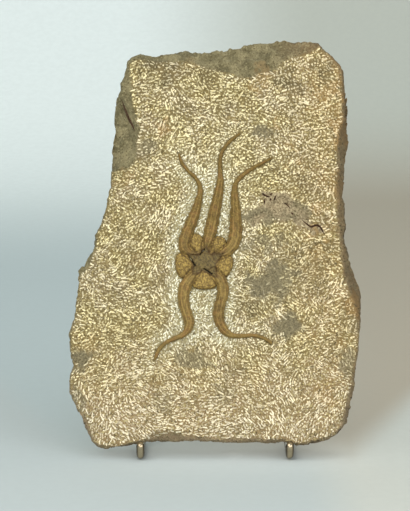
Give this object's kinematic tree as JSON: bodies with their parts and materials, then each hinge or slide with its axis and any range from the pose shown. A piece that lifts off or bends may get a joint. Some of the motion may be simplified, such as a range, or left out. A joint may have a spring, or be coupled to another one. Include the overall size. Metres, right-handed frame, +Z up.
{
  "type": "fossil brittle star on stand",
  "caption": "Slim-armed fossil brittle star standing in relief on a rough chiselled stone slab, which leans on a small polished wire easel.",
  "frame": {"origin": "on the shelf, under the middle of the box round the whole object", "axes": "+Z up, -Y out of the prepared face towards the viewer, +X to the viewer's right"},
  "size_m": [0.1166, 0.09, 0.1611],
  "materials": {
    "matrix_stone": "matte chiselled siltstone",
    "fossil_calcite": "matte, finely ridged",
    "plated_wire": "polished"
  },
  "bodies": {
    "root": {"matrix_slab": "matrix_stone", "disc": "fossil_calcite", "arm_upper_left": "fossil_calcite", "arm_upper_middle": "fossil_calcite", "arm_upper_right": "fossil_calcite", "arm_lower_left": "fossil_calcite", "arm_lower_right": "fossil_calcite", "easel_side_left": "plated_wire", "easel_side_right": "plated_wire", "easel_top_bar": "plated_wire", "easel_foot_bar": "plated_wire", "easel_strut_left": "plated_wire", "easel_strut_right": "plated_wire"}
  },
  "joints": []
}
